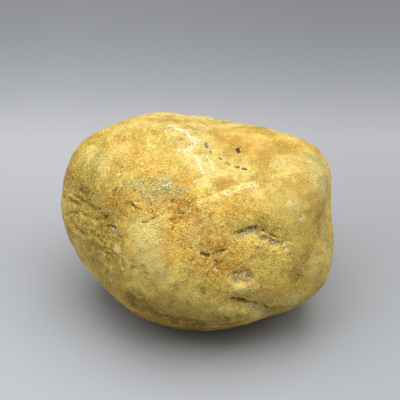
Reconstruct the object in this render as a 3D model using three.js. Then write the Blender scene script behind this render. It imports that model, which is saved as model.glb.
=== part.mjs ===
// A river-worn jadeite pebble: one stone, one closed solid.
// Millimetres, +Z up. The origin is on the resting face, under the middle of the stone.
import * as THREE from "three";
import { mergeVertices } from "three/addons/utils/BufferGeometryUtils.js";

// Half sizes of the block that the pebble wore down from, used to spread the triangles evenly.
const HALF_BLOCK = new THREE.Vector3(60, 50, 45);

// The skin is an icosahedron split this often along each edge: 20 * (SPLITS + 1) ** 2 triangles.
const SPLITS = 21;

// Corners closer than this on the icosahedron, whose radius is 1, are one corner.
const MERGE_GAP = 1e-4;

// How sharply the worn faces meet. 4 gives an egg, 30 gives a block with tight edges.
const EDGE_SHARPNESS = 9;

// The worn faces. A heading is in degrees, seen from above and turning anticlockwise:
// 0 is the right end, 90 the back, 180 the left end and 270 the front. A rise is in degrees
// above level. The distance is from the middle of the stone, in millimetres.
const WORN_FACES = [
  { name: "top", heading: 280, rise: 82, distance: 37.2 },
  { name: "top back", heading: 95, rise: 54, distance: 51.5 },
  { name: "top back right", heading: 60, rise: 50, distance: 48.8 },
  { name: "top back left", heading: 132, rise: 42, distance: 60.3 },
  { name: "right end", heading: 2, rise: -4, distance: 56.8 },
  { name: "right shoulder", heading: 28, rise: 34, distance: 71 },
  { name: "left end", heading: 168, rise: 14, distance: 71.5 },
  { name: "left underside", heading: 208, rise: -38, distance: 54.8 },
  { name: "front", heading: 278, rise: 19, distance: 48.9 },
  { name: "front brow", heading: 258, rise: 42, distance: 44.2 },
  { name: "left brow", heading: 208, rise: 36, distance: 63.6 },
  { name: "front left", heading: 221, rise: 11, distance: 53.9 },
  { name: "front right", heading: 303, rise: 24, distance: 56 },
  { name: "front underside", heading: 256, rise: -24, distance: 51.6 },
  { name: "right underside", heading: 298, rise: -40, distance: 54.2 },
  { name: "back", heading: 94, rise: 0, distance: 51.4 },
  { name: "back left", heading: 140, rise: -14, distance: 53 },
  { name: "back right", heading: 45, rise: -14, distance: 57.3 },
  { name: "back underside", heading: 90, rise: -48, distance: 52.0 },
  { name: "base", heading: 50, rise: -88.5, distance: 44.8 },
];

// Swells (height above 0) and hollows (below 0), each along a line of places on the skin.
// A place is [heading, rise]. Width, from the line to where the form has faded to a third,
// and height are in millimetres.
const RELIEF = [
  { name: "left crown", along: [[150, 62], [205, 60]], width: 18, height: 1.5 },
  { name: "saddle", along: [[62, 58], [44, 68], [310, 74]], width: 11, height: -2 },
  { name: "right crown", along: [[18, 50], [350, 44]], width: 14, height: 1.2 },
  { name: "green hollow", along: [[240, 44], [252, 38]], width: 8, height: -2 },
  { name: "right fold", along: [[346, 19], [334, 15], [326, 9], [320, 3], [315, -4]], width: 5.5, height: -2.4 },
  { name: "right lobe", along: [[336, -2], [330, -9]], width: 9, height: 1.5 },
  { name: "swell over crevice", along: [[290, -1], [306, -8]], width: 7, height: 1.4 },
  { name: "crevice", along: [[286, -10], [297, -15], [306, -20]], width: 3.4, height: -2.8 },
  { name: "lip under crevice", along: [[287, -20], [294, -23]], width: 6, height: 1.4 },
  { name: "front left ridge", along: [[243, 21], [249, 11], [253, 1]], width: 7, height: 2.2 },
  { name: "left hollow", along: [[217, 20], [225, 10], [231, 0]], width: 8, height: -1.8 },
  { name: "left crack", along: [[188, 16], [204, 19], [214, 19]], width: 3, height: -1.2 },
  { name: "long chip", along: [[291, 25], [300, 24]], width: 3, height: -1.8 },
  { name: "short chip", along: [[304, 21], [310, 17]], width: 2.8, height: -1.5 },
  { name: "rough hollow", along: [[287, 4], [292, 0]], width: 5, height: -1.3 },
  { name: "front pit", along: [[274, 15], [278, 8]], width: 3, height: -1.4 },
  { name: "back hollow", along: [[70, 22], [95, 8]], width: 14, height: -2.6 },
  { name: "back ridge", along: [[118, 40], [126, 5], [118, -20]], width: 9, height: 2 },
  { name: "back fold", along: [[44, 18], [36, 0], [40, -18]], width: 5, height: -2.4 },
  { name: "back chip", along: [[146, 14], [154, 10]], width: 3.6, height: -2 },
  { name: "back scar", along: [[84, -16], [100, -22], [112, -19]], width: 3.4, height: -1.8 },
  { name: "right end dent", along: [[8, 14], [14, 4]], width: 7, height: -1.6 },
  { name: "under hollow", along: [[180, -60], [130, -62]], width: 9, height: -1.8 },
];

// The long, faint waves of a skin that water wore: each adds three sines, one along each
// axis, of these wavelengths and this height, in millimetres.
const WAVES = [
  { lengths: [38, 46, 35], height: 0.25 },
  { lengths: [-25, 29, 22], height: 0.15 },
  { lengths: [18, -16, 19], height: 0.07 },
];

// The stone is worn flat this far up from its lowest point, where it rests.
const REST_WEAR = 1;

const toRadians = THREE.MathUtils.degToRad;

function direction(heading, rise) {
  const level = Math.cos(toRadians(rise));
  return new THREE.Vector3(
    level * Math.cos(toRadians(heading)),
    level * Math.sin(toRadians(heading)),
    Math.sin(toRadians(rise)),
  );
}

const faceNormals = WORN_FACES.map((face) => direction(face.heading, face.rise));

// Distance from the middle to the skin, before the relief. Each face alone would give its
// distance over the cosine. Adding their powers rounds the edges where faces meet.
function wornRadius(toward) {
  let sum = 0;
  WORN_FACES.forEach((face, i) => {
    const facing = Math.max(0, toward.dot(faceNormals[i]));
    sum += (facing / face.distance) ** EDGE_SHARPNESS;
  });
  return sum ** (-1 / EDGE_SHARPNESS);
}

function placeOnSkin([heading, rise]) {
  const toward = direction(heading, rise);
  return toward.multiplyScalar(wornRadius(toward));
}

const reliefPaths = RELIEF.map((form) => {
  const stops = form.along.map(placeOnSkin);
  return stops.slice(1).map((stop, i) => new THREE.Line3(stops[i], stop));
});

// Sum of the swells and hollows at a point of the skin, each fading as a bell curve.
function reliefAt(point) {
  const nearest = new THREE.Vector3();
  return RELIEF.reduce((total, form, i) => {
    const gaps = reliefPaths[i].map((line) => line.closestPointToPoint(point, true, nearest).distanceTo(point));
    const away = Math.min(...gaps) / form.width;
    return total + form.height * Math.exp(-away * away);
  }, 0);
}

function wavesAt(point) {
  return WAVES.reduce((total, { lengths: [x, y, z], height }) => {
    const turns = [point.x / x, point.y / y, point.z / z];
    return total + height * turns.reduce((sum, turn) => sum + Math.sin(2 * Math.PI * turn), 0);
  }, 0);
}

// Every corner of the icosahedron moves out along its own direction to the worn skin.
function makeSkin() {
  const ball = new THREE.IcosahedronGeometry(1, SPLITS);
  ball.deleteAttribute("normal");
  ball.deleteAttribute("uv");
  const skin = mergeVertices(ball, MERGE_GAP);
  const corners = skin.getAttribute("position");
  const toward = new THREE.Vector3();
  for (let i = 0; i < corners.count; i++) {
    toward.fromBufferAttribute(corners, i).multiply(HALF_BLOCK).normalize();
    const point = toward.clone().multiplyScalar(wornRadius(toward));
    point.addScaledVector(toward, reliefAt(point) + wavesAt(point));
    corners.setXYZ(i, point.x, point.y, point.z);
  }
  return skin;
}

// Wears the lowest part flat and moves the stone to stand on the origin.
function rest(skin) {
  skin.computeBoundingBox();
  const floor = skin.boundingBox.min.z + REST_WEAR;
  const corners = skin.getAttribute("position");
  for (let i = 0; i < corners.count; i++) {
    corners.setZ(i, Math.max(corners.getZ(i), floor));
  }
  skin.computeBoundingBox();
  const middle = skin.boundingBox.getCenter(new THREE.Vector3());
  skin.translate(-middle.x, -middle.y, -floor);
  skin.computeVertexNormals();
  return skin;
}

const jadeiteSkin = new THREE.MeshStandardMaterial({ color: 0xc4a552, roughness: 0.55, metalness: 0 });

const pebble = new THREE.Mesh(rest(makeSkin()), jadeiteSkin);
pebble.name = "pebble";

const stone = new THREE.Group();
stone.add(pebble);

export default stone;
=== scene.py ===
# A river-worn jadeite pebble on a pale studio floor.
import math

import bpy
import numpy as np
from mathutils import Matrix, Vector, noise


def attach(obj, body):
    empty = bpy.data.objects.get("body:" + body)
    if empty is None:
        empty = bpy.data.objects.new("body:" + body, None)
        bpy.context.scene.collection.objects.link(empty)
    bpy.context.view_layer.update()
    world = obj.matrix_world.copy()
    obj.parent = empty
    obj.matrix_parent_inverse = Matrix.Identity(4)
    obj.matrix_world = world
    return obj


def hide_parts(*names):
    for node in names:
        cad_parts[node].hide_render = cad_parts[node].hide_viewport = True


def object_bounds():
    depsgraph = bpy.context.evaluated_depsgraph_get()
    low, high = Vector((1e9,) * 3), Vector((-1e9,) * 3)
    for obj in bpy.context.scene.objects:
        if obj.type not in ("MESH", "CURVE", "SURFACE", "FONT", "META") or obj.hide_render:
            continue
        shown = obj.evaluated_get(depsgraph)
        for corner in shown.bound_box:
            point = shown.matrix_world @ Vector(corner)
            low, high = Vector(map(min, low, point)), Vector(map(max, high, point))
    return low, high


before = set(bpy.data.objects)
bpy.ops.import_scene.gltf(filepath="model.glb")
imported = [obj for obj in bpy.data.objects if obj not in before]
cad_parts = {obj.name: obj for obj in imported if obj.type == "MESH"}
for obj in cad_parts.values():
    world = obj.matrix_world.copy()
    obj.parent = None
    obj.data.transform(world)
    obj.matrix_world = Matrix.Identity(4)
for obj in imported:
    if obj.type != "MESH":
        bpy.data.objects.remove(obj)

mm = 0.001
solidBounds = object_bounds()
print("frame loaded")

# The camera stands where the photo's did: in front, looking along +Y and down.
photoCamera = {
    "lens": 85,            # millimetres
    "sensor": 36,          # millimetres across the picture
    "pixels": 400,         # across the picture
    "elevation": 35,       # degrees above level
    "distance": 425 * mm,  # from the point it looks at
    "aim": (2.3 * mm, 0, 51.7 * mm),
    "nearest": 10 * mm,    # nothing nearer than this is drawn
}


def placeCamera():
    tilt = math.radians(photoCamera["elevation"])
    back = Vector((0, -math.cos(tilt), math.sin(tilt)))
    place = Vector(photoCamera["aim"]) + back * photoCamera["distance"]
    bpy.ops.object.camera_add(location=place, rotation=(math.pi / 2 - tilt, 0, 0))
    camera = bpy.context.object
    camera.name = "photoCamera"
    camera.data.lens = photoCamera["lens"]
    camera.data.sensor_width = photoCamera["sensor"]
    camera.data.clip_start = photoCamera["nearest"]
    bpy.context.scene.camera = camera
    return camera


camera = placeCamera()
print("camera placed")

# The stone's mesh. Heights are from the lowest to the highest part of each pattern.
stoneSize = {
    "mergeGap": 0.01 * mm,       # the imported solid's triangles are loose
    "smoothLevels": 2,           # each level quarters the faces, down to edges of about 0.75 mm
    "fineMark": 2.2 * mm,        # faces near a mark or tint narrower than this are split once more
    "splitReach": 0.5 * mm,      # and so are those this far outside it
    "lumps": 0.7 * mm,           # gentle lumps, and their size
    "lumpSize": 7 * mm,
    "granules": 0.32 * mm,       # the crumbly weathered skin, and its size
    "granuleSize": 2.4 * mm,
    "smoothShare": 0.3,          # of the granules that is left where the river rubbed the skin smooth
    "pores": 0.2 * mm,           # scattered pores, their size, and the range of noise they open over
    "poreSize": 1.7 * mm,
    "poreRange": (0.15, 0.55),
    "poreGroupSize": 8 * mm,     # the groups that the pores come in, and likewise their range
    "poreGroupRange": (-0.3, 0.3),
    "wander": 0.9 * mm,          # how far the marks stray from straight lines, and over what length
    "wanderSize": 3.6 * mm,
    "unevenMark": 4.0 * mm,      # marks narrower than this vary in depth along the way
    "uneven": 0.8,               # by up to this share, and over this length
    "unevenSize": 2.4 * mm,
    "flatUnder": 0.06 * mm,      # what is lower than this is set down on the surface
    "hollowSteps": 5,            # how many corners away the skin is averaged to find its hollows
    "leastWeight": 0.002,        # weaker parts of a vertex group are left out
}

# The layers that the left end and a stretch of the back broke along.
brokenLayers = {
    "height": 0.6 * mm,
    "thickness": 2.6 * mm,
    "length": 3,                   # the size of the noise, in thicknesses
    "squeeze": 2.5,                # how much more the noise is squeezed across the layers than along
    "across": (0.51, 0.49, 0.70),  # they run down to the right in the photo
    "step": 0.15,                  # half the range of the noise over which a step falls
}

# How each shape of mark goes down, with gaps from its line in widths. A swell is a bell curve.
markShapes = {
    "grooveCurve": 1.2,            # 1 is a plain V, and more is hollower
    "pitSlope": (0.4, 1.1),        # from the floor's edge to the rim
    "chipEdge": (-0.12, 0.1),      # it falls off from just above its line to just below
    "chipFade": 1.4,               # how soon it rises again, and how suddenly
    "chipCurve": 1.5,
}

# Outlines of the tints: how far they stray, and over what length, for tints that reach further
# than the broad one and for the rest. A tint is full, and then gone, at these shares of its spread.
tintOutline = {
    "broad": 3 * mm,
    "broadStray": 4 * mm,
    "broadSize": 9 * mm,
    "narrowStray": 0.7 * mm,
    "narrowSize": 2.4 * mm,
    "full": 0.2,
    "gone": 1.4,
}

# Each use of the noise looks at a part of its own.
noiseSeeds = {"stray": (31, 33, 35), "uneven": 41, "pores": 51, "poreGroups": 53, "layers": 61}

# What shapes the skin. Each mark runs through places given as pixels of the photo, or for the
# sides that it doesn't show as (heading, rise) from the middle of the stone, in degrees.
# Width, from the middle of the mark to its edge, and depth, which is negative outward, are in
# millimetres.
reliefMarks = {
    "belly": {"photo": [(118, 276), (145, 294), (175, 304), (205, 307)], "shape": "swell", "width": 8.0,
        "depth": -1.6},
    "crownWear": {"places": [(124, 50), (98, 53), (72, 54)], "shape": "swell", "width": 9.0,
        "depth": 1.6},
    "shoulderWear": {"photo": [(298, 145), (313, 156), (322, 170)], "shape": "swell", "width": 8.0,
        "depth": 1.3},
    "foldWear": {"photo": [(330, 214), (331, 228), (330, 244)], "shape": "swell", "width": 6.0,
        "depth": 1.4},
    # The dark in the crevice is painted shadow under its overhanging upper side.
    "creviceMouth": {"photo": [(234, 297), (239, 299), (246, 301)], "shape": "groove", "width": 1.5,
        "depth": 2.4, "tints": {"darkMarksAndPaintedShadow": 1}},
    "creviceFold": {"photo": [(246, 301), (254, 302), (262, 304), (268, 307)], "shape": "groove",
        "width": 1.0, "depth": 1.6, "tints": {"darkMarksAndPaintedShadow": 0.8}},
    # The pale on the lip and on the swell over the crevice is painted highlight on their crowns.
    "creviceLip": {"photo": [(231, 309), (243, 311)], "shape": "swell", "width": 3.6, "depth": -1.2,
        "tints": {"paleAndPaintedHighlight": 0.4}},
    "swellOverCrevice": {"photo": [(231, 287), (241, 288), (253, 287)], "shape": "swell", "width": 3.2,
        "depth": -1.3, "tints": {"paleAndPaintedHighlight": 0.8}},
    "leftCrystals": {"photo": [(252, 304), (255, 306)], "shape": "swell", "width": 1.1, "depth": -0.3,
        "tints": {"pink": 1}},
    "rightCrystals": {"photo": [(261, 308), (267, 311)], "shape": "swell", "width": 1.3, "depth": -0.3,
        "tints": {"pink": 0.8}},
    "roughPatch": {"photo": [(236, 279), (243, 275), (248, 279)], "shape": "pit", "width": 3.2,
        "depth": 0.9, "tints": {"pink": 0.55}},
    "roughPatchTop": {"photo": [(233, 274), (240, 270), (247, 271)], "shape": "groove", "width": 0.8,
        "depth": 0.5, "tints": {"darkMarksAndPaintedShadow": 0.7}},
    # The dark along the upper edges of the chips and pits is painted shadow under the edge; elsewhere dark is
    # the colour of cracks and pits.
    "longChip": {"photo": [(240, 232), (247, 230), (255, 228)], "shape": "chip", "width": 3.2,
        "depth": 1.3, "tints": {"pink": 0.9}},
    "longChipEdge": {"photo": [(238, 232), (243, 230), (248, 229), (256, 226)], "shape": "groove",
        "width": 0.8, "depth": 0.9, "tints": {"darkMarksAndPaintedShadow": 1}},
    "shortChip": {"photo": [(265, 235), (270, 238), (276, 242)], "shape": "chip", "width": 2.6,
        "depth": 1.1, "tints": {"pink": 0.9}},
    "shortChipEdge": {"photo": [(264, 232), (270, 235), (277, 239)], "shape": "groove", "width": 0.9,
        "depth": 0.9, "tints": {"darkMarksAndPaintedShadow": 0.9}},
    "smallChip": {"photo": [(286, 244), (287, 248)], "shape": "pit", "width": 1.2, "depth": 0.5,
        "tints": {"crystalsAndPaintedGlints": 0.6}},
    "smallChipEdge": {"photo": [(284, 250), (284, 243), (289, 241)], "shape": "groove", "width": 0.6,
        "depth": 0.5, "tints": {"darkMarksAndPaintedShadow": 0.7}},
    "brownPit": {"photo": [(203, 254), (208, 256)], "shape": "pit", "width": 1.3, "depth": 0.45,
        "tints": {"darkMarksAndPaintedShadow": 0.7, "pink": 0.2}},
    "brownPitTail": {"photo": [(208, 252), (212, 250)], "shape": "groove", "width": 0.9, "depth": 0.5,
        "tints": {"darkMarksAndPaintedShadow": 0.9}},
    "slitPit": {"photo": [(216, 267), (214, 273)], "shape": "groove", "width": 1.3, "depth": 0.9,
        "tints": {"crystalsAndPaintedGlints": 0.9}},
    "slitEdge": {"photo": [(216, 261), (218, 264), (218, 269)], "shape": "groove", "width": 0.9,
        "depth": 0.7, "tints": {"darkMarksAndPaintedShadow": 1}},
    "centreCrack": {"photo": [(215, 254), (220, 252), (226, 250)], "shape": "groove", "width": 0.8,
        "depth": 0.5, "tints": {"darkMarksAndPaintedShadow": 0.8}},
    "rustCrack": {"photo": [(178, 213), (183, 214), (190, 214)], "shape": "groove", "width": 0.9,
        "depth": 0.5, "tints": {"darkMarksAndPaintedShadow": 0.95}},
    "rustStep": {"photo": [(172, 219), (181, 217), (191, 217)], "shape": "chip", "width": 2.4,
        "depth": 0.45},
    "shortCrack": {"photo": [(193, 222), (198, 221), (204, 220)], "shape": "groove", "width": 0.5,
        "depth": 0.3, "tints": {"darkMarksAndPaintedShadow": 0.45}},
    "orangeCrack": {"photo": [(165, 231), (170, 235)], "shape": "groove", "width": 0.8, "depth": 0.4,
        "tints": {"darkMarksAndPaintedShadow": 0.9}},
    "dottedCrack": {"photo": [(141, 222), (149, 221), (154, 217)], "shape": "groove", "width": 1.0,
        "depth": 0.6, "tints": {"darkMarksAndPaintedShadow": 1}},
    "upperDots": {"photo": [(129, 203), (135, 207), (141, 211)], "shape": "groove", "width": 0.9,
        "depth": 0.5, "tints": {"darkMarksAndPaintedShadow": 0.95}},
    "middleDots": {"photo": [(121, 214), (127, 217)], "shape": "groove", "width": 0.8, "depth": 0.5,
        "tints": {"darkMarksAndPaintedShadow": 0.6}},
    "blackPit": {"photo": [(237, 149), (239, 152)], "shape": "pit", "width": 1.3, "depth": 0.9,
        "tints": {"black": 1}},
    "blackPitRim": {"photo": [(236, 146), (240, 148), (243, 150)], "shape": "groove", "width": 0.6,
        "depth": 0.3, "tints": {"black": 0.8}},
    "blackPitSide": {"photo": [(242, 153)], "shape": "pit", "width": 1.1, "depth": 0.3,
        "tints": {"pink": 1}},
    "topChip": {"photo": [(195, 127), (205, 126)], "shape": "pit", "width": 2.4, "depth": 0.7,
        "tints": {"pink": 0.8}},
    "topChipEdge": {"photo": [(194, 130), (200, 131), (206, 129)], "shape": "groove", "width": 0.6,
        "depth": 0.4, "tints": {"darkMarksAndPaintedShadow": 0.7}},
    "veinBroad": {"photo": [(200, 204), (211, 199), (222, 195)], "shape": "swell", "width": 2.2,
        "depth": -0.35, "tints": {"vein": 0.65}},
    "veinUpper": {"photo": [(220, 194), (231, 189), (242, 185), (254, 183)], "shape": "swell",
        "width": 1.0, "depth": -0.3, "tints": {"vein": 1}},
    "veinLower": {"photo": [(222, 196), (233, 192), (243, 188), (258, 185)], "shape": "swell",
        "width": 1.0, "depth": -0.3, "tints": {"vein": 1}},
    "topCrack": {"photo": [(193, 178), (200, 175), (206, 173)], "shape": "groove", "width": 0.7,
        "depth": 0.4, "tints": {"darkMarksAndPaintedShadow": 0.8}},
    "leftCrack": {"photo": [(68, 194), (75, 196), (81, 200), (88, 205), (94, 209)], "shape": "groove",
        "width": 1.2, "depth": 0.8, "tints": {"darkMarksAndPaintedShadow": 0.55}},
    "leftCrackBand": {"photo": [(76, 192), (83, 197), (91, 203)], "shape": "groove", "width": 0.6,
        "depth": 0.4, "tints": {"paleAndPaintedHighlight": 0.6}},
    "leftHollow": {"photo": [(81, 191), (86, 193)], "shape": "pit", "width": 2.4, "depth": 0.6,
        "tints": {"darkMarksAndPaintedShadow": 0.4}},
    "edgeNotch": {"photo": [(64, 215), (69, 214), (75, 212)], "shape": "groove", "width": 1.0,
        "depth": 0.8, "tints": {"darkMarksAndPaintedShadow": 0.6}},
    "leftStep": {"photo": [(95, 219), (101, 219), (107, 217)], "shape": "groove", "width": 1.0,
        "depth": 0.7, "tints": {"darkMarksAndPaintedShadow": 0.6}},
    "greyPit": {"photo": [(113, 230), (116, 234)], "shape": "pit", "width": 1.9, "depth": 0.9,
        "tints": {"pink": 0.9}},
    "greyPitEdge": {"photo": [(109, 226), (115, 227)], "shape": "groove", "width": 0.9, "depth": 0.6,
        "tints": {"darkMarksAndPaintedShadow": 0.9}},
    "lowerStep": {"photo": [(89, 244), (96, 249), (102, 252), (108, 254)], "shape": "groove",
        "width": 1.1, "depth": 0.7, "tints": {"darkMarksAndPaintedShadow": 0.55}},
    "middleStep": {"photo": [(98, 237), (102, 242), (108, 249)], "shape": "groove", "width": 0.9,
        "depth": 0.7, "tints": {"darkMarksAndPaintedShadow": 0.6}},
    "thinStep": {"photo": [(84, 230), (91, 231), (94, 230)], "shape": "groove", "width": 0.6,
        "depth": 0.5, "tints": {"darkMarksAndPaintedShadow": 0.5}},
    "lowPit": {"photo": [(109, 274), (112, 278)], "shape": "pit", "width": 1.8, "depth": 0.8,
        "tints": {"pink": 0.9}},
    "lowPitEdge": {"photo": [(106, 270), (111, 271)], "shape": "groove", "width": 0.8, "depth": 0.5,
        "tints": {"darkMarksAndPaintedShadow": 0.6}},
    "ridgeStreak": {"photo": [(124, 261), (127, 272)], "shape": "groove", "width": 0.7, "depth": 0.5,
        "tints": {"darkMarksAndPaintedShadow": 0.4}},
    "ridgeStreakLight": {"photo": [(121, 258), (124, 268)], "shape": "swell", "width": 0.9,
        "depth": -0.3, "tints": {"paleAndPaintedHighlight": 0.9}},
    "olivePit": {"photo": [(142, 268), (147, 274)], "shape": "pit", "width": 1.3, "depth": 0.4,
        "tints": {"darkMarksAndPaintedShadow": 0.4}},
    "smallPit": {"photo": [(133, 267), (135, 268)], "shape": "pit", "width": 0.8, "depth": 0.3,
        "tints": {"darkMarksAndPaintedShadow": 0.5}},
    "lowLeftLines": {"photo": [(110, 290), (118, 296)], "shape": "groove", "width": 0.8, "depth": 0.4,
        "tints": {"darkMarksAndPaintedShadow": 0.4}},
    "rightCrack": {"photo": [(293, 176), (302, 181)], "shape": "groove", "width": 0.6, "depth": 0.3,
        "tints": {"darkMarksAndPaintedShadow": 0.3}},
    "foldLine": {"photo": [(329, 211), (328, 216), (326, 222)], "shape": "groove", "width": 0.8,
        "depth": 0.5, "tints": {"darkMarksAndPaintedShadow": 0.6}},
    "backCrack": {"places": [(66, 20), (80, 14), (92, 4), (104, 2)], "shape": "groove", "width": 1.0,
        "depth": 1.1, "tints": {"darkMarksAndPaintedShadow": 0.8}},
    "backCrackSpur": {"places": [(80, 14), (86, 20), (94, 22)], "shape": "groove", "width": 0.7,
        "depth": 0.6, "tints": {"darkMarksAndPaintedShadow": 0.6}},
    "backChip": {"places": [(118, 22), (125, 20), (131, 16)], "shape": "chip", "width": 3.0,
        "depth": 1.2, "tints": {"pink": 0.8}},
    "backChipEdge": {"places": [(117, 23), (124, 21), (131, 17)], "shape": "groove", "width": 0.8,
        "depth": 0.8, "tints": {"darkMarksAndPaintedShadow": 0.9}},
    "backPit": {"places": [(74, -8)], "shape": "pit", "width": 1.9, "depth": 1.0,
        "tints": {"darkMarksAndPaintedShadow": 0.8}},
    "backPatch": {"places": [(98, -14), (106, -16)], "shape": "pit", "width": 3.0, "depth": 0.7,
        "tints": {"pink": 0.6}},
    "backVein": {"places": [(50, 34), (62, 38), (78, 40), (92, 46)], "shape": "swell", "width": 1.2,
        "depth": -0.3, "tints": {"vein": 0.9}},
    "leftEndCrack": {"places": [(166, 24), (174, 14), (180, 2), (178, -8)], "shape": "groove",
        "width": 1.1, "depth": 1.0, "tints": {"darkMarksAndPaintedShadow": 0.8}},
    "leftEndPit": {"places": [(160, -8), (164, -12)], "shape": "pit", "width": 1.8, "depth": 0.8,
        "tints": {"pink": 0.8}},
    "rightEndCrack": {"places": [(22, 24), (14, 10), (12, -4)], "shape": "groove", "width": 0.9,
        "depth": 0.9, "tints": {"darkMarksAndPaintedShadow": 0.7}},
    "rightEndChip": {"places": [(24, 6), (28, 2)], "shape": "chip", "width": 2.6, "depth": 1.0,
        "tints": {"pink": 0.8}},
    "rightEndPit": {"places": [(4, 26)], "shape": "pit", "width": 1.5, "depth": 0.7,
        "tints": {"darkMarksAndPaintedShadow": 0.6}},
    "underCrack": {"places": [(30, -50), (60, -56), (96, -60)], "shape": "groove", "width": 1.0,
        "depth": 0.9, "tints": {"darkMarksAndPaintedShadow": 0.7}},
    "underPit": {"places": [(200, -44), (206, -48)], "shape": "pit", "width": 2.0, "depth": 0.8,
        "tints": {"darkMarksAndPaintedShadow": 0.6}},
}

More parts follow.
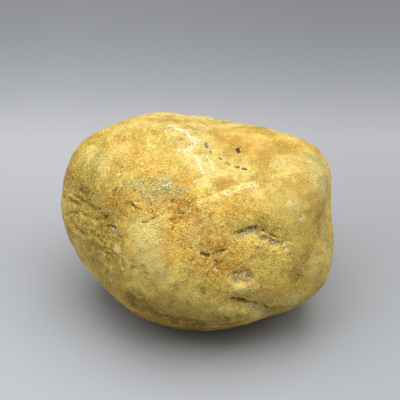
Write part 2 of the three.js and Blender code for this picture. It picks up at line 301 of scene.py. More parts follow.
# What only colours the skin. Share is how strong a tint is in the middle, and spread is how far it
# reaches, in millimetres.
skinTints = {
    # Gold is partly the stone's golden skin and partly painted light: the broad patch over the front and the
    # one low on it lighten the front as light from the front would.
    "goldAndPaintedFrontLight": [
        {"share": 0.9, "spread": 26, "photo": [(140, 250), (185, 265), (230, 262), (270, 240)]},
        {"share": 0.6, "spread": 7, "photo": [(72, 216), (80, 240), (90, 262)]},
        {"share": 0.35, "spread": 12, "photo": [(135, 152), (148, 174), (182, 160)]},
        {"share": 0.8, "spread": 9, "photo": [(200, 288), (222, 298), (238, 311), (255, 309)]},
        {"share": 1, "spread": 9, "photo": [(192, 204), (214, 212), (202, 228)]},
        {"share": 0.4, "spread": 11, "photo": [(250, 275), (282, 262)]},
    ],
    # Olive is partly the stone's olive skin and partly painted shade: on the left end, in the hollow beside
    # the ridge, along the lower right and on the underside it darkens where shade falls.
    "oliveAndPaintedShade": [
        {"share": 0.7, "spread": 16, "photo": [(88, 190), (84, 220), (92, 250), (110, 280)]},
        {"share": 0.5, "spread": 13, "photo": [(288, 214), (306, 209), (300, 225)]},
        {"share": 0.3, "spread": 9, "photo": [(240, 262), (262, 258), (280, 266)]},
        {"share": 0.5, "spread": 6, "photo": [(150, 205), (166, 200), (178, 196)]},
        {"share": 0.7, "spread": 4, "photo": [(97, 247), (106, 250)]},
        {"share": 0.7, "spread": 5, "photo": [(84, 192), (78, 190)]},
        {"share": 0.9, "spread": 8, "photo": [(100, 224), (112, 238), (112, 252), (122, 270)]},
        {"share": 0.5, "spread": 6, "photo": [(134, 212), (158, 222), (168, 232)]},
        {"share": 0.6, "spread": 7, "photo": [(166, 300), (182, 305)]},
        {"share": 0.5, "spread": 6, "photo": [(240, 208), (252, 205)]},
        {"share": 0.4, "spread": 4, "photo": [(227, 238), (240, 241)]},
        {"share": 0.35, "spread": 9, "photo": [(86, 164), (102, 150)]},
        {"share": 0.4, "spread": 9, "photo": [(262, 292), (290, 286), (312, 262)]},
        {"share": 0.6, "spread": 4, "photo": [(258, 220), (272, 226)]},
        {"share": 0.4, "spread": 4, "photo": [(303, 252), (297, 266), (292, 275)]},
        {"share": 0.6, "spread": 14, "places": [(140, -8), (160, -14), (176, -20)]},
        {"share": 0.6, "spread": 13, "places": [(36, -20), (80, -34), (130, -34)]},
    ],
    # Painted shade: a dark brown laid along the underside, the low front rim, the fold on the right and the
    # hollow on the left, where shade falls.
    "paintedShade": [
        {"share": 0.6, "spread": 6, "photo": [(106, 226), (120, 238), (114, 250)]},
        {"share": 0.8, "spread": 11, "photo": [(138, 303), (165, 318), (195, 323), (225, 322)]},
        {"share": 0.45, "spread": 6, "photo": [(200, 318), (222, 316)]},
        {"share": 0.5, "spread": 5, "photo": [(322, 216), (317, 232)]},
        {"share": 0.5, "spread": 5, "photo": [(310, 250), (300, 268)]},
        {"share": 0.8, "spread": 13, "places": [(190, -30), (220, -36), (250, -36), (280, -42), (310, -44)]},
        {"share": 0.8, "spread": 16, "places": [(20, -70), (140, -66), (240, -66), (300, -66)]},
    ],
    "green": [
        {"share": 0.9, "spread": 8, "photo": [(314, 156), (321, 170), (326, 188)]},
        {"share": 0.6, "spread": 6, "photo": [(328, 216), (330, 244)]},
        {"share": 0.75, "spread": 4.5, "photo": [(160, 254), (163, 266), (158, 276)]},
        {"share": 1, "spread": 5, "photo": [(152, 195), (164, 192), (178, 190)]},
        {"share": 0.6, "spread": 4.0, "photo": [(133, 180), (146, 187)]},
        {"share": 0.6, "spread": 6, "photo": [(96, 158)]},
        {"share": 0.45, "spread": 7, "photo": [(142, 262), (152, 280)]},
        {"share": 0.6, "spread": 3.5, "photo": [(152, 214)]},
        {"share": 0.7, "spread": 8, "places": [(58, 8), (68, -6)]},
        {"share": 0.6, "spread": 7, "places": [(150, 20)]},
        {"share": 0.6, "spread": 7, "places": [(6, -10), (20, -14)]},
    ],
    # Pale is partly paler rubbed skin and partly painted highlight: along the ridge on the front left and on
    # the brightest part of the top it is lightened as where light catches them.
    "paleAndPaintedHighlight": [
        {"share": 0.6, "spread": 9, "photo": [(178, 128), (190, 146), (200, 165), (225, 172)]},
        {"share": 0.5, "spread": 4, "photo": [(104, 140), (118, 132), (140, 124)]},
        {"share": 0.9, "spread": 2.2, "photo": [(205, 179), (206, 184)]},
        {"share": 0.5, "spread": 5, "photo": [(285, 165), (300, 160), (316, 168)]},
        {"share": 0.3, "spread": 8, "photo": [(262, 190), (285, 200), (300, 212)]},
        {"share": 0.9, "spread": 7, "photo": [(142, 232), (152, 230), (156, 242)]},
        {"share": 0.7, "spread": 6, "photo": [(148, 244), (150, 258), (158, 272)]},
        {"share": 0.8, "spread": 2.6, "photo": [(117, 247), (122, 252), (127, 258)]},
        {"share": 0.9, "spread": 6.5, "photo": [(199, 223), (202, 236)]},
        {"share": 0.8, "spread": 1.8, "photo": [(183, 210), (187, 211)]},
        {"share": 0.7, "spread": 1.8, "photo": [(165, 217), (170, 216)]},
        {"share": 0.3, "spread": 7, "photo": [(235, 311), (255, 308), (225, 300)]},
        {"share": 0.4, "spread": 8, "photo": [(318, 250), (322, 268)]},
        {"share": 0.6, "spread": 10, "places": [(60, 58), (90, 52), (130, 50)]},
        {"share": 0.8, "spread": 9, "places": [(112, 6), (120, -10)]},
    ],
    "orange": [
        {"share": 0.9, "spread": 4.5, "photo": [(186, 182)]},
        {"share": 0.4, "spread": 12, "photo": [(235, 138), (262, 143), (290, 150)]},
        {"share": 0.32, "spread": 10, "photo": [(118, 140), (140, 158), (172, 166)]},
        {"share": 0.4, "spread": 6, "photo": [(222, 292), (240, 296)]},
        {"share": 0.5, "spread": 13, "photo": [(180, 227), (200, 240), (226, 250)]},
        {"share": 0.5, "spread": 6, "photo": [(204, 206), (213, 215), (222, 224)]},
        {"share": 0.25, "spread": 14, "photo": [(235, 266), (262, 258), (262, 284)]},
        {"share": 0.4, "spread": 8, "photo": [(132, 200), (152, 205)]},
        {"share": 0.5, "spread": 6, "photo": [(112, 292), (132, 308), (155, 319)]},
        {"share": 0.5, "spread": 7, "photo": [(166, 240), (171, 256)]},
        {"share": 0.6, "spread": 5.5, "photo": [(237, 205), (228, 210)]},
        {"share": 0.7, "spread": 3.5, "photo": [(213, 245), (222, 243)]},
        {"share": 0.7, "spread": 2.4, "photo": [(152, 316), (158, 320)]},
        {"share": 0.6, "spread": 10, "places": [(100, 34), (130, 30)]},
        {"share": 0.7, "spread": 8, "places": [(20, 30), (14, 16)]},
    ],
    "rust": [
        {"share": 0.6, "spread": 4.5, "photo": [(202, 249), (216, 250), (228, 247)]},
        {"share": 0.9, "spread": 3.6, "photo": [(176, 218), (184, 218)]},
        {"share": 0.75, "spread": 6, "photo": [(172, 204), (190, 204)]},
        {"share": 0.5, "spread": 7, "photo": [(178, 214), (190, 220)]},
        {"share": 0.3, "spread": 4.5, "photo": [(211, 222), (214, 230)]},
        {"share": 0.5, "spread": 8, "photo": [(200, 262), (222, 268)]},
        {"share": 0.35, "spread": 7, "photo": [(244, 204), (255, 212)]},
        {"share": 0.35, "spread": 8, "photo": [(160, 300), (186, 307)]},
        {"share": 0.5, "spread": 3.5, "photo": [(203, 249)]},
        {"share": 0.9, "spread": 2.0, "photo": [(208, 274)]},
        {"share": 0.6, "spread": 3, "photo": [(218, 181), (230, 182)]},
        {"share": 0.5, "spread": 4.5, "photo": [(130, 254), (134, 258)]},
        {"share": 0.5, "spread": 3.5, "photo": [(146, 167), (156, 163)]},
        {"share": 0.6, "spread": 6, "photo": [(108, 200), (120, 210)]},
        {"share": 0.45, "spread": 4, "photo": [(317, 214), (318, 228), (313, 243), (305, 260)]},
        {"share": 0.7, "spread": 6, "places": [(92, 10), (84, 4)]},
        {"share": 0.6, "spread": 6, "places": [(172, 10), (180, -2)]},
    ],
    # White is partly pale crystals and partly painted highlight: the white marks over the top and on the
    # right are glints of light painted into the colour.
    "crystalsAndPaintedGlints": [
        {"share": 0.6, "spread": 2.6, "photo": [(186, 131), (190, 137), (195, 141)]},
        {"share": 0.6, "spread": 1.8, "photo": [(170, 126), (180, 130), (186, 132)]},
        {"share": 0.55, "spread": 2.4, "photo": [(179, 150), (186, 151), (192, 147)]},
        {"share": 0.6, "spread": 1.7, "photo": [(195, 156), (199, 163), (203, 172)]},
        {"share": 0.5, "spread": 1.5, "photo": [(207, 156), (215, 170)]},
        {"share": 0.5, "spread": 1.1, "photo": [(290, 202), (294, 204)]},
        {"share": 0.6, "spread": 0.9, "photo": [(288, 205)]},
        {"share": 0.6, "spread": 0.9, "photo": [(288, 212)]},
        {"share": 0.6, "spread": 1.1, "photo": [(300, 220), (303, 218)]},
        {"share": 0.8, "spread": 0.7, "photo": [(112, 246)]},
        {"share": 0.8, "spread": 0.7, "photo": [(160, 189)]},
        {"share": 0.8, "spread": 0.7, "photo": [(163, 186), (170, 184)]},
        {"share": 0.8, "spread": 1.6, "places": [(70, 44)]},
        {"share": 0.8, "spread": 1.4, "places": [(76, 47)]},
    ],
    "pink": [
        {"share": 0.9, "spread": 1.1, "photo": [(182, 168)]},
        {"share": 0.7, "spread": 1.8, "photo": [(194, 185)]},
        {"share": 0.6, "spread": 2.4, "photo": [(166, 127), (172, 129)]},
        {"share": 0.6, "spread": 1.5, "photo": [(208, 147), (211, 144)]},
        {"share": 0.5, "spread": 3, "photo": [(280, 160), (286, 162)]},
    ],
    "black": [
        {"share": 0.85, "spread": 1.0, "photo": [(205, 143), (207, 147)]},
        {"share": 0.8, "spread": 0.8, "photo": [(210, 151), (212, 154)]},
        {"share": 0.8, "spread": 0.8, "photo": [(219, 158), (221, 160)]},
        {"share": 0.8, "spread": 0.8, "photo": [(226, 163), (229, 164)]},
        {"share": 0.85, "spread": 1.1, "photo": [(236, 166), (238, 167)]},
        {"share": 0.85, "spread": 0.9, "photo": [(243, 168), (246, 169)]},
        {"share": 0.7, "spread": 0.7, "photo": [(251, 171)]},
        {"share": 0.6, "spread": 0.7, "photo": [(258, 174)]},
        {"share": 0.9, "spread": 0.9, "places": [(112, 44), (116, 43)]},
        {"share": 0.9, "spread": 0.7, "places": [(121, 41)]},
        {"share": 0.8, "spread": 0.7, "places": [(126, 40)]},
    ],
}

# Where the skin was rubbed smooth, where it is cracked, and where it broke along its layers.
skinZones = {
    "smooth": [
        {"share": 0.8, "spread": 13, "photo": [(130, 292), (165, 308), (205, 312), (245, 308)]},
        {"share": 0.6, "spread": 11, "photo": [(120, 270), (150, 262), (180, 285)]},
        {"share": 1, "spread": 14, "photo": [(222, 140), (262, 150), (290, 158)]},
        {"share": 1, "spread": 11, "photo": [(262, 190), (285, 196), (310, 190)]},
        {"share": 0.9, "spread": 8, "photo": [(305, 225), (300, 245)]},
        {"share": 0.9, "spread": 8, "photo": [(322, 235), (324, 262), (312, 285)]},
        {"share": 0.8, "spread": 9, "photo": [(178, 150), (195, 172), (225, 176)]},
        {"share": 0.7, "spread": 6, "photo": [(130, 254), (140, 262)]},
        {"share": 0.9, "spread": 14, "places": [(70, 55), (110, 60)]},
        {"share": 0.9, "spread": 10, "places": [(116, 4), (122, -14)]},
        {"share": 0.8, "spread": 12, "places": [(10, 34), (354, 30)]},
    ],
    "cracked": [
        {"share": 1, "spread": 16, "photo": [(80, 195), (90, 225), (104, 250)]},
        {"share": 0.9, "spread": 13, "photo": [(180, 213), (205, 232), (212, 262)]},
        {"share": 0.8, "spread": 9, "photo": [(235, 235), (270, 240), (285, 250)]},
        {"share": 0.6, "spread": 12, "photo": [(120, 180), (150, 205)]},
        {"share": 0.8, "spread": 12, "photo": [(215, 290), (245, 300)]},
        {"share": 0.9, "spread": 16, "places": [(176, 6), (160, -16)]},
        {"share": 0.9, "spread": 16, "places": [(70, 14), (100, 4)]},
        {"share": 0.7, "spread": 12, "places": [(18, 10), (24, -10)]},
        {"share": 0.7, "spread": 20, "places": [(60, -56), (140, -60), (240, -60)]},
    ],
    "layered": [
        {"share": 1, "spread": 12, "photo": [(74, 200), (86, 222), (98, 246)]},
        {"share": 0.7, "spread": 10, "places": [(176, 6), (180, -10)]},
        {"share": 0.7, "spread": 9, "places": [(84, 6), (98, 0)]},
    ],
}


def marksOf(groups):
    # All the marks of a table, each with what it is listed under.
    return [{"tint": tint, **mark} for tint, marks in groups.items() for mark in marks]


tintMarks = marksOf(skinTints)
zoneMarks = marksOf(skinZones)

tints = ["goldAndPaintedFrontLight", "oliveAndPaintedShade", "paintedShade", "green", "paleAndPaintedHighlight", "orange", "rust", "vein", "crystalsAndPaintedGlints", "pink", "darkMarksAndPaintedShadow", "black"]
zones = ["smooth", "layered", "cracked"]


def copySolid(node, name):
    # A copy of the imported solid's mesh, with its loose triangles merged and paired.
    bpy.ops.object.select_all(action="DESELECT")
    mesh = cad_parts[node].data.copy()
    piece = bpy.data.objects.new(name, mesh)
    bpy.context.collection.objects.link(piece)
    bpy.context.view_layer.objects.active = piece
    piece.select_set(True)
    bpy.ops.object.mode_set(mode="EDIT")
    bpy.ops.mesh.select_all(action="SELECT")
    bpy.ops.mesh.remove_doubles(threshold=stoneSize["mergeGap"])
    bpy.ops.mesh.tris_convert_to_quads(face_threshold=math.pi, shape_threshold=math.pi)
    bpy.ops.object.mode_set(mode="OBJECT")
    return piece


def smoothFacets(piece):
    levels = stoneSize["smoothLevels"]
    soften = piece.modifiers.new("soften", "SUBSURF")
    soften.levels = levels
    soften.render_levels = levels
    bpy.ops.object.modifier_apply(modifier=soften.name)


def corners(piece):
    points = np.empty(len(piece.data.vertices) * 3)
    piece.data.vertices.foreach_get("co", points)
    return points.reshape(-1, 3)


middle = (solidBounds[0] + solidBounds[1]) / 2


def placesOf(piece, mark):
    # The mark's places on the skin, looked for from the camera or from outside the stone.
    rays = []
    scale = photoCamera["sensor"] / photoCamera["lens"] / photoCamera["pixels"]
    for x, y in mark.get("photo", []):
        across = (x - photoCamera["pixels"] / 2) * scale
        up = (photoCamera["pixels"] / 2 - y) * scale
        rays.append((camera.location, camera.rotation_euler.to_matrix() @ Vector((across, up, -1))))
    for heading, rise in mark.get("places", []):
        turn, lift = math.radians(heading), math.radians(rise)
        outward = Vector((math.cos(lift) * math.cos(turn), math.cos(lift) * math.sin(turn), math.sin(lift)))
        rays.append((middle + outward, -outward))  # one metre out, looking in
    places = []
    for start, direction in rays:
        hit, place, normal, face = piece.ray_cast(start, direction)
        if hit:
            places.append(np.array(place))
        else:
            print("a place is off the stone:", mark)
    return places


tiny = 1e-12  # stands in for the squared length of a mark that is a single place


def offsetsFrom(points, places):
    # The way from the nearest point of the line through the places to each corner.
    best = np.full(points.shape, np.inf)
    for start, end in zip(places, places[1:] or places):
        span = end - start
        share = np.clip((points - start) @ span / max(span @ span, tiny), 0, 1)
        offset = points - start - share[:, None] * span
        closer = np.sum(offset ** 2, axis=1) < np.sum(best ** 2, axis=1)
        best[closer] = offset[closer]
    return best


def gapsFrom(points, places):
    return np.linalg.norm(offsetsFrom(points, places), axis=1)


def ragged(points, size, seed):
    # Noise from -1 to 1 with features of a size.
    shift = Vector((seed, seed * 2, seed * 3))
    return np.array([noise.noise(Vector(point) / size + shift) for point in points])


def smoothStep(values, low, high):
    share = np.clip((values - low) / (high - low), 0, 1)
    return share * share * (3 - 2 * share)


def splitNearMarks(piece):
    centres = np.array([face.center for face in piece.data.polygons])
    near = np.zeros(len(centres), bool)
    for mark in [*reliefMarks.values(), *tintMarks]:
        width = mark.get("width", mark.get("spread")) * mm
        if width < stoneSize["fineMark"]:
            near |= gapsFrom(centres, mark["line"]) < width + stoneSize["splitReach"]
    bpy.ops.object.mode_set(mode="EDIT")
    bpy.ops.mesh.select_all(action="DESELECT")
    bpy.ops.object.mode_set(mode="OBJECT")
    piece.data.polygons.foreach_set("select", near)
    bpy.ops.object.mode_set(mode="EDIT")
    bpy.context.tool_settings.mesh_select_mode = (False, False, True)
    bpy.ops.mesh.subdivide(number_cuts=1, smoothness=1)
    bpy.ops.object.mode_set(mode="OBJECT")
    print("faces split near marks:", int(near.sum()))


def strayed(points, reach, size):
    # The points moved about by noise, and half as far by noise a third of its size, so that what
    # is measured from them has a ragged outline.
    stray = []
    for seed in noiseSeeds["stray"]:
        stray.append(ragged(points, size, seed) + 0.5 * ragged(points, size / 3, seed + 1))
    return points + reach * np.array(stray).T


def spreadTints(points, marks, names):
    # How much of each tint every corner has.
    broad = strayed(points, tintOutline["broadStray"], tintOutline["broadSize"])
    narrow = strayed(points, tintOutline["narrowStray"], tintOutline["narrowSize"])
    stains = {name: np.zeros(len(points)) for name in names}
    for mark in marks:
        spread = mark["spread"] * mm
        gaps = gapsFrom(broad if spread > tintOutline["broad"] else narrow, mark["line"]) / spread
        share = mark["share"] * (1 - smoothStep(gaps, tintOutline["full"], tintOutline["gone"]))
        stains[mark["tint"]] = np.maximum(stains[mark["tint"]], share)
    return stains


def groupOf(piece, name, weights):
    group = piece.vertex_groups.new(name=name)
    for i in np.nonzero(weights > stoneSize["leastWeight"])[0]:
        group.add([int(i)], float(weights[i]), "REPLACE")
    return group.name


def roughen(piece, name, height, size, group=""):
    # Lumps from procedural clouds, as much outward as inward.
    clouds = bpy.data.textures.new(name, "CLOUDS")
    clouds.noise_scale = size
    clouds.noise_depth = 1
    lumps = piece.modifiers.new(name, "DISPLACE")
    lumps.texture = clouds
    lumps.texture_coords = "LOCAL"
    lumps.strength = height
    lumps.mid_level = 0.5
    lumps.vertex_group = group
    bpy.ops.object.modifier_apply(modifier=name)


def press(piece, name, depths):
    # Moves the skin inward by a depth at each corner, or outward where it is negative.
    for side, amounts in (("In", np.maximum(depths, 0)), ("Out", np.maximum(-depths, 0))):
        most = amounts.max()
        if most == 0:
            continue
        dent = piece.modifiers.new(name + side, "DISPLACE")
        dent.mid_level = 0
        dent.strength = -most if side == "In" else most
        dent.vertex_group = groupOf(piece, name + side, amounts / most)
        bpy.ops.object.modifier_apply(modifier=dent.name)


def profile(shape, gap, below):
    # How deep a mark is, as a share, at a gap from its line and this far below it, in widths.
    if shape == "groove":
        return np.maximum(0, 1 - gap) ** markShapes["grooveCurve"]
    if shape == "pit":
        return 1 - smoothStep(gap, *markShapes["pitSlope"])
    if shape == "chip":
        fade = np.exp(-markShapes["chipFade"] * gap ** markShapes["chipCurve"])
        return smoothStep(below, *markShapes["chipEdge"]) * fade
    return np.exp(-gap ** 2)


def markDepths(points, stains):
    # How deep the marks go at each corner. What they colour is added to the stains.
    bent = strayed(points, stoneSize["wander"], stoneSize["wanderSize"])
    uneven = 1 + stoneSize["uneven"] * ragged(points, stoneSize["unevenSize"], noiseSeeds["uneven"])
    down = -np.array(camera.rotation_euler.to_matrix() @ Vector((0, 1, 0)))
    depths = np.zeros(len(points))
    for mark in reliefMarks.values():
        width = mark["width"] * mm
        offsets = offsetsFrom(bent, mark["line"])
        share = profile(mark["shape"], np.linalg.norm(offsets, axis=1) / width, offsets @ down / width)
        if width < stoneSize["unevenMark"]:
            share = share * uneven
        depths += mark["depth"] * mm * share
        for tint, amount in mark.get("tints", {}).items():
            stains[tint] = np.maximum(stains[tint], amount * share)
    return depths


def layerDepths(points):
    # Broken steps, drawn out along the layers.
    across = Vector(brokenLayers["across"])
    squeezed = points + np.outer(points @ np.array(across) * brokenLayers["squeeze"], across)
    size = brokenLayers["thickness"] * brokenLayers["length"]
    step = brokenLayers["step"]
    return smoothStep(ragged(squeezed, size, noiseSeeds["layers"]), -step, step)


def measureHollows(piece):
    # How far each corner lies under the skin around it, in millimetres, for the dirt and the rub.
    points = corners(piece)
    count = len(points)
    edges = np.empty(len(piece.data.edges) * 2, int)
    piece.data.edges.foreach_get("vertices", edges)
    first, second = edges.reshape(-1, 2).T
    normals = np.empty(count * 3)
    piece.data.vertices.foreach_get("normal", normals)
    normals = normals.reshape(-1, 3)
    number = np.bincount(first, minlength=count) + np.bincount(second, minlength=count)

    def average(values):
        total = np.zeros_like(values)
        np.add.at(total, first, values[second])
        np.add.at(total, second, values[first])
        return total / number.reshape((-1,) + (1,) * (values.ndim - 1))

    flat = points.copy()
    for step in range(stoneSize["hollowSteps"]):
        flat = average(flat)
    hollow = np.sum((flat - points) * normals, axis=1)
    return (hollow - np.median(hollow)) / mm


def standFlat(piece):
    # Nothing reaches under the surface that the stone rests on, and its worn flat lies on it.
    bpy.ops.object.mode_set(mode="EDIT")
    bpy.ops.mesh.select_all(action="DESELECT")
    bpy.ops.object.mode_set(mode="OBJECT")
    low = corners(piece)[:, 2] < stoneSize["flatUnder"]
    piece.data.vertices.foreach_set("select", low)
    bpy.ops.object.mode_set(mode="EDIT")
    bpy.context.tool_settings.mesh_select_mode = (True, False, False)
    bpy.ops.transform.resize(value=(1, 1, 0), center_override=(0, 0, 0))
    bpy.ops.object.mode_set(mode="OBJECT")


def makeStone():
    stone = copySolid("pebble", "jadeitePebble")
    smoothFacets(stone)
    for mark in [*reliefMarks.values(), *tintMarks, *zoneMarks]:
        mark["line"] = placesOf(stone, mark)
    splitNearMarks(stone)
    points = corners(stone)
    where = spreadTints(points, zoneMarks, zones)
    stains = spreadTints(points, tintMarks, tints)
    crumbly = 1 - (1 - stoneSize["smoothShare"]) * where["smooth"]
    roughen(stone, "lumps", stoneSize["lumps"], stoneSize["lumpSize"])
    crumblyGroup = groupOf(stone, "crumbly", crumbly)
    roughen(stone, "granules", stoneSize["granules"], stoneSize["granuleSize"], crumblyGroup)
    pores = smoothStep(ragged(points, stoneSize["poreSize"], noiseSeeds["pores"]), *stoneSize["poreRange"])
    groups = ragged(points, stoneSize["poreGroupSize"], noiseSeeds["poreGroups"])
    pores *= smoothStep(groups, *stoneSize["poreGroupRange"]) * crumbly
    depths = markDepths(points, stains)
    depths += stoneSize["pores"] * pores
    depths += brokenLayers["height"] * layerDepths(points) * where["layered"]
    press(stone, "marks", depths)
    standFlat(stone)
    # The material reads these as attributes.
    stains["hollow"] = measureHollows(stone)
    stains["smooth"] = where["smooth"]
    stains["cracked"] = where["cracked"]
    for name, amounts in stains.items():
        layer = stone.data.attributes.new(name, "FLOAT", "POINT")
        layer.data.foreach_set("value", amounts.astype(np.float32))
    bpy.ops.object.shade_smooth()
    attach(stone, "root")
    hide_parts("pebble")
    return stone


stone = makeStone()
triangles = len(stone.data.loops) - 2 * len(stone.data.polygons)
print("stone shaped:", len(stone.data.polygons), "faces,", triangles, "triangles")


def linear(hexColour):
    # An sRGB hex colour as the linear red, green, blue and alpha that nodes take.
    parts = [int(hexColour[i:i + 2], 16) / 255 for i in (1, 3, 5)]
    return [part / 12.92 if part <= 0.04045 else ((part + 0.055) / 1.055) ** 2.4 for part in parts] + [1]


def addNode(tree, kind, settings={}, links={}):
    # A setting is one of the node's own or the value of an input, and a link feeds an input.
    node = tree.nodes.new(kind)
    for name, value in settings.items():
        if isinstance(name, str) and hasattr(node, name):
            setattr(node, name, value)
        else:
            node.inputs[name].default_value = value
    for name, source in links.items():
        tree.links.new(source, node.inputs[name])
    return node


# Weathered jadeite: the iron-stained skin that forms on a stone in a river bed, rubbed by water.
# It shows as a waxy, sandy ochre with paler rubbed crowns and darker cracks.
skinPatterns = {
    "mottle": {"size": 11 * mm, "detail": 3, "seed": 1},    # broad change of the ground colour
    "patchy": {"size": 3.5 * mm, "detail": 4, "seed": 4},   # breaks up the stains
    "flecks": {"size": 0.8 * mm, "detail": 3, "seed": 7},   # grains of about 0.4 mm, drawn coarser to show
    "sand": {"size": 0.5 * mm, "detail": 2, "seed": 9},     # sandy grain, about as fine as can show
    "warp": {"size": 3 * mm, "detail": 2, "seed": 15},      # bends the outlines of the flakes
}

skinLook = {
    "groundTones": {0.41: "#B49242", 0.5: "#C5A64E", 0.59: "#D7BC6A"},  # along the range of the mottle
    "patternRoughness": 0.6,
    "flakeSize": 3.2 * mm,     # flakes of slightly different tones
    "flakeDetail": 1.5,
    "flakeBend": 4 * mm,       # how far their outlines are bent
    "hairSize": 7 * mm,        # the hair cracks bend over this length
    "hairDetail": 1.0,
    "hairTilt": (0, math.radians(20), math.radians(15)),
    "hairSqueeze": (1, 1, 3),  # so that they run more along than up and down
    "hairWidth": 0.010,        # half of it, as a share of the range of the noise that they follow
    "bumpStrength": 0.8,
    "bumpHeight": 0.4 * mm,
    "roughness": 0.55,
    "gloss": 0.2,
}

# Stains that soak in, from the lowest up. The gold also lightens the front as painted light, the olive also
# darkens as painted shade, the darkest brown is painted shade alone, and the pale also paints highlights.
stainColours = {
    "goldAndPaintedFrontLight": "#EDCE68",
    "oliveAndPaintedShade": "#AE943F",
    "paintedShade": "#82600A",
    "green": "#A8A168",
    "paleAndPaintedHighlight": "#E0C97C",
    "orange": "#D4972F",
    "rust": "#B67E2A",
}

# Marks that keep their edges, over the grain. The white also paints glints, and the dark also paints shadow
# along the edges of chips and in the crevice.
markColours = {
    "vein": "#E9D387",
    "crystalsAndPaintedGlints": "#EFE8C4",
    "pink": "#C2A77A",
    "darkMarksAndPaintedShadow": "#5E4417",
    "black": "#4A4234",
}

# The light grain colour also paints the glints, as painted highlights.
grainColours = {
    "darkGrain": "#7E5D14",
    "lightGrainAndPaintedGlint": "#F1D970",
    "dirt": "#6D5213",
    "rub": "#E7CD70",
}

# How strong each effect is along a pattern or an attribute: over which stretch of it, and from
# what share to what.
skinShares = {
    "broken": {"of": "patchy", "over": (0.34, 0.66), "share": (0.35, 1.6), "curve": "LINEAR"},
    "calm": {"of": "smooth", "over": (0, 1), "share": (1, 0.5), "curve": "LINEAR"},
    "clusters": {"of": "patchy", "over": (0.38, 0.62), "share": (1.5, 0.4), "curve": "LINEAR"},
    "crumbly": {"of": "cracked", "over": (0, 1), "share": (0.7, 1.5), "curve": "LINEAR"},
    "grit": {"of": "sand", "over": (0.3, 0.7), "share": (-0.4, 0.4), "curve": "LINEAR"},
    "sandTone": {"of": "sand", "over": (0.36, 0.64), "share": (0.72, 1.28), "curve": "LINEAR"},
    "flakeTone": {"of": "flakes", "over": (0.2, 0.8), "share": (0.84, 1.16), "curve": "LINEAR"},
    "darkFlecks": {"of": "flecks", "over": (0.49, 0.32), "share": (0, 0.48), "curve": "SMOOTHSTEP"},
    "lightFlecks": {"of": "flecks", "over": (0.53, 0.66), "share": (0, 0.65), "curve": "SMOOTHSTEP"},
    # Painted glints: where the finest grain is highest, pale dots stand in for light sparkling off the
    # crystals.
    "paintedGlints": {"of": "sand", "over": (0.62, 0.74), "share": (0, 0.5), "curve": "SMOOTHSTEP"},
    "sunk": {"of": "hollow", "over": (0.04, 0.3), "share": (0, 0.5), "curve": "SMOOTHSTEP"},
    "raised": {"of": "hollow", "over": (-0.04, -0.25), "share": (0, 0.5), "curve": "SMOOTHSTEP"},
    "darkCrystals": {"of": "sand", "over": (0.48, 0.38), "share": (0, 0.9), "curve": "SMOOTHSTEP"},
    "whiteCrystals": {"of": "sand", "over": (0.53, 0.63), "share": (0, 0.75), "curve": "SMOOTHSTEP"},
    "hairPatches": {"of": "patchy", "over": (0.4, 0.46), "share": (0, 1), "curve": "SMOOTHSTEP"},
    "hairZones": {"of": "cracked", "over": (0.15, 0.6), "share": (0, 1), "curve": "SMOOTHSTEP"},
    "hairFade": {"of": "flecks", "over": (0.35, 0.65), "share": (1, 0.5), "curve": "SMOOTHSTEP"},
}

# What is painted over the ground, from the lowest up: the stains, among them painted light on the front and
# painted shade underneath, the grains with the painted glints, the dirt and the rub, the marks, some with
# painted shadow at their edges, the crystals in the chips, and the hair cracks. A layer is as strong as the
# product of what it follows, or the sum for the marks, whose edges the grit makes ragged. With an edge, it
# comes in over that stretch of the result.
skinLayers = [
    *[{"paint": tint, "follows": [tint, "broken"], "edge": (0.02, 1.1)} for tint in stainColours],
    {"paint": "darkGrain", "follows": ["darkFlecks", "clusters", "crumbly"]},
    {"paint": "lightGrainAndPaintedGlint", "follows": ["lightFlecks", "calm"]},
    # Painted highlight: the glints, in the light grain colour.
    {"paint": "lightGrainAndPaintedGlint", "follows": ["paintedGlints", "calm"]},
    {"paint": "dirt", "follows": ["sunk"]},
    {"paint": "rub", "follows": ["raised"]},
    *[{"paint": tint, "follows": [tint, "grit"], "join": "ADD", "edge": (0.4, 0.85)} for tint in markColours],
    {"paint": "darkMarksAndPaintedShadow", "follows": ["darkCrystals", "pink"]},
    {"paint": "crystalsAndPaintedGlints", "follows": ["whiteCrystals", "pink"]},
    {"paint": "dirt", "follows": ["hairPatches", "hairZones", "hairs", "hairFade"]},
]


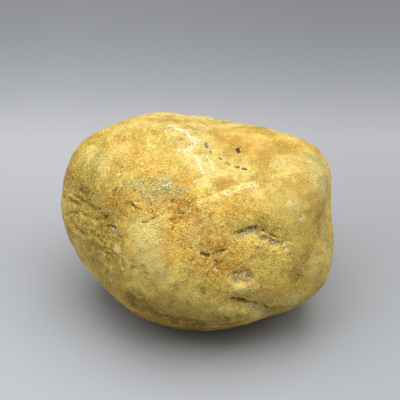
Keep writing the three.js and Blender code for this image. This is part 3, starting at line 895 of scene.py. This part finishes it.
def weatheredJadeite():
    material = bpy.data.materials.new("weatheredJadeite")
    material.use_nodes = True
    tree = material.node_tree
    shader = tree.nodes["Principled BSDF"]
    place = addNode(tree, "ShaderNodeTexCoord").outputs["Object"]

    # All that a layer can follow, by name.
    found = {}
    for name, look in skinPatterns.items():
        seed = look["seed"]
        part = (seed, seed * 2, seed * 3)
        shifted = addNode(tree, "ShaderNodeMapping", {"Location": part}, {"Vector": place})
        settings = {"Scale": 1 / look["size"], "Detail": look["detail"]}
        settings["Roughness"] = skinLook["patternRoughness"]
        pattern = addNode(tree, "ShaderNodeTexNoise", settings, {"Vector": shifted.outputs["Vector"]})
        found[name] = pattern.outputs["Fac"]
    for name in tints + ["hollow", "smooth", "cracked"]:
        found[name] = addNode(tree, "ShaderNodeAttribute", {"attribute_name": name}).outputs["Fac"]

    # Flakes of slightly different tones, with bent outlines.
    bend = (skinLook["flakeBend"],) * 3
    bent = addNode(tree, "ShaderNodeVectorMath", {"operation": "MULTIPLY_ADD", 1: bend},
                   {0: found["warp"], 2: place}).outputs["Vector"]
    settings = {"Scale": 1 / skinLook["flakeSize"], "Detail": skinLook["flakeDetail"]}
    flakes = addNode(tree, "ShaderNodeTexVoronoi", settings, {"Vector": bent})
    found["flakes"] = flakes.outputs["Color"]

    # Hair cracks, where a noise is halfway through its range.
    tilted = addNode(tree, "ShaderNodeMapping",
                     {"Rotation": skinLook["hairTilt"], "Scale": skinLook["hairSqueeze"]}, {"Vector": bent})
    lines = addNode(tree, "ShaderNodeTexNoise",
                    {"Scale": 1 / skinLook["hairSize"], "Detail": skinLook["hairDetail"]},
                    {"Vector": tilted.outputs["Vector"]})
    hairs = addNode(tree, "ShaderNodeMath", {"operation": "COMPARE", 1: 0.5, 2: skinLook["hairWidth"]},
                    {0: lines.outputs["Fac"]})
    found["hairs"] = hairs.outputs["Value"]

    for name, look in skinShares.items():
        settings = {"interpolation_type": look["curve"]}
        settings["From Min"], settings["From Max"] = look["over"]
        settings["To Min"], settings["To Max"] = look["share"]
        share = addNode(tree, "ShaderNodeMapRange", settings, {"Value": found[look["of"]]})
        found[name] = share.outputs["Result"]

    ground = addNode(tree, "ShaderNodeValToRGB", links={"Fac": found["mottle"]})
    tones = skinLook["groundTones"]
    ends = ground.color_ramp.elements
    ends[0].position = min(tones)
    ends[0].color = linear(tones[min(tones)])
    ends[1].position = max(tones)
    ends[1].color = linear(tones[max(tones)])
    for position in sorted(tones)[1:-1]:
        ends.new(position).color = linear(tones[position])
    colour = ground.outputs["Color"]

    palette = {**stainColours, **markColours, **grainColours}
    for layer in skinLayers:
        share = found[layer["follows"][0]]
        for name in layer["follows"][1:]:
            joined = addNode(tree, "ShaderNodeMath", {"operation": layer.get("join", "MULTIPLY")},
                             {0: share, 1: found[name]})
            share = joined.outputs["Value"]
        if "edge" in layer:
            settings = {"interpolation_type": "SMOOTHSTEP"}
            settings["From Min"], settings["From Max"] = layer["edge"]
            share = addNode(tree, "ShaderNodeMapRange", settings, {"Value": share}).outputs["Result"]
        painted = addNode(tree, "ShaderNodeMix", {"data_type": "RGBA", 7: linear(palette[layer["paint"]])},
                          {0: share, 6: colour})
        colour = painted.outputs[2]

    grain = addNode(tree, "ShaderNodeMath", {"operation": "MULTIPLY"},
                    {0: found["sandTone"], 1: found["flakeTone"]})
    toned = addNode(tree, "ShaderNodeMix", {"data_type": "RGBA", "blend_type": "MULTIPLY"},
                    {0: found["calm"], 6: colour, 7: grain.outputs["Value"]})
    tree.links.new(toned.outputs[2], shader.inputs["Base Color"])
    shader.inputs["Roughness"].default_value = skinLook["roughness"]
    shader.inputs["Specular IOR Level"].default_value = skinLook["gloss"]

    rough = addNode(tree, "ShaderNodeMath", {"operation": "ADD"}, {0: found["flecks"], 1: found["sand"]})
    height = addNode(tree, "ShaderNodeMath", {"operation": "MULTIPLY"},
                     {0: rough.outputs["Value"], 1: found["calm"]})
    bump = addNode(tree, "ShaderNodeBump",
                   {"Strength": skinLook["bumpStrength"], "Distance": skinLook["bumpHeight"]},
                   {"Height": height.outputs["Value"]})
    tree.links.new(bump.outputs["Normal"], shader.inputs["Normal"])
    return material


stone.data.materials.clear()
stone.data.materials.append(weatheredJadeite())
print("skin coloured")


# A broad soft light hangs over the stone. Weak ones fill its sides, and the faintest its lower front.
studio = {
    "floorSize": 6.0,
    # Painted light along the paper, from front to back, at millimetres: lightest at 125 mm, darker towards
    # the back as the light falls off, with a painted shadow band at 30 mm beside the stone.
    "paperPaintedLight": {-61: "#AEB1B6", -23: "#AFB3B8", 30: "#A3A5A9", 125: "#B5B7BB", 150: "#B2B4B8",
                   195: "#A1A3A7", 258: "#929598", 309: "#8E9093"},
    # Painted light: how far out, and by what share, the left is lighter than the middle and the right darker.
    "paperPaintedSideLight": (90 * mm, 0.08),
    "paperRoughness": 0.9,
    "overhead": {"place": (0, 0.02, 0.7), "aim": (0, 0, 0), "size": 0.8, "power": 6.9},
    "leftFill": {"place": (-0.5, -0.15, 0.35), "aim": (0, 0, 0.04), "size": 0.5, "power": 0.9},
    "rightFill": {"place": (0.55, 0, 0.35), "aim": (0, 0, 0.04), "size": 0.5, "power": 1.3},
    "lowFill": {"place": (0, -0.6, 0.15), "aim": (0, 0, 0.04), "size": 0.4, "power": 0.18},
    "skyStrength": 0.01,
}


# Matte paper, rolled out flat, with painted light: soft bands from front to back where the light falls off, a
# painted shadow beside the stone, and a lighter left side.
def paperWithPaintedLight():
    paper = bpy.data.materials.new("paperWithPaintedLight")
    paper.use_nodes = True
    tree = paper.node_tree
    shader = tree.nodes["Principled BSDF"]
    place = addNode(tree, "ShaderNodeTexCoord").outputs["Object"]
    along = addNode(tree, "ShaderNodeSeparateXYZ", links={0: place})
    tones = studio["paperPaintedLight"]
    front, back = min(tones) * mm, max(tones) * mm
    depth = addNode(tree, "ShaderNodeMapRange", {"From Min": front, "From Max": back},
                    {"Value": along.outputs["Y"]})
    paintedFalloff = addNode(tree, "ShaderNodeValToRGB", links={"Fac": depth.outputs["Result"]})
    paintedFalloff.color_ramp.interpolation = "B_SPLINE"
    ends = paintedFalloff.color_ramp.elements
    ends[0].color = linear(tones[min(tones)])
    ends[1].color = linear(tones[max(tones)])
    for y in sorted(tones)[1:-1]:
        ends.new((y * mm - front) / (back - front)).color = linear(tones[y])
    reach, change = studio["paperPaintedSideLight"]
    sides = addNode(tree, "ShaderNodeMapRange",
                    {"From Min": -reach, "From Max": reach, "To Min": 1 + change, "To Max": 1 - change},
                    {"Value": along.outputs["X"]})
    shade = addNode(tree, "ShaderNodeMix", {"data_type": "RGBA", "blend_type": "MULTIPLY", 0: 1.0},
                    {6: paintedFalloff.outputs["Color"], 7: sides.outputs["Result"]})
    tree.links.new(shade.outputs[2], shader.inputs["Base Color"])
    shader.inputs["Roughness"].default_value = studio["paperRoughness"]
    return paper


def makeStudio():
    bpy.ops.object.select_all(action="DESELECT")
    bpy.ops.mesh.primitive_plane_add(size=studio["floorSize"])
    floor = bpy.context.object
    floor.name = "floor"
    floor.data.materials.append(paperWithPaintedLight())
    for name in ("overhead", "leftFill", "rightFill", "lowFill"):
        look = studio[name]
        turn = (Vector(look["aim"]) - Vector(look["place"])).to_track_quat("-Z", "Y").to_euler()
        bpy.ops.object.light_add(type="AREA", location=look["place"], rotation=turn)
        light = bpy.context.object
        light.name = name
        light.data.size = look["size"]
        light.data.energy = look["power"]
        light.visible_camera = False
    world = bpy.data.worlds.new("room")
    world.use_nodes = True
    world.node_tree.nodes["Background"].inputs["Color"].default_value = linear("#FFFFFF")
    world.node_tree.nodes["Background"].inputs["Strength"].default_value = studio["skyStrength"]
    bpy.context.scene.world = world
    bpy.context.scene.view_settings.view_transform = "Standard"


makeStudio()
print("studio lit")
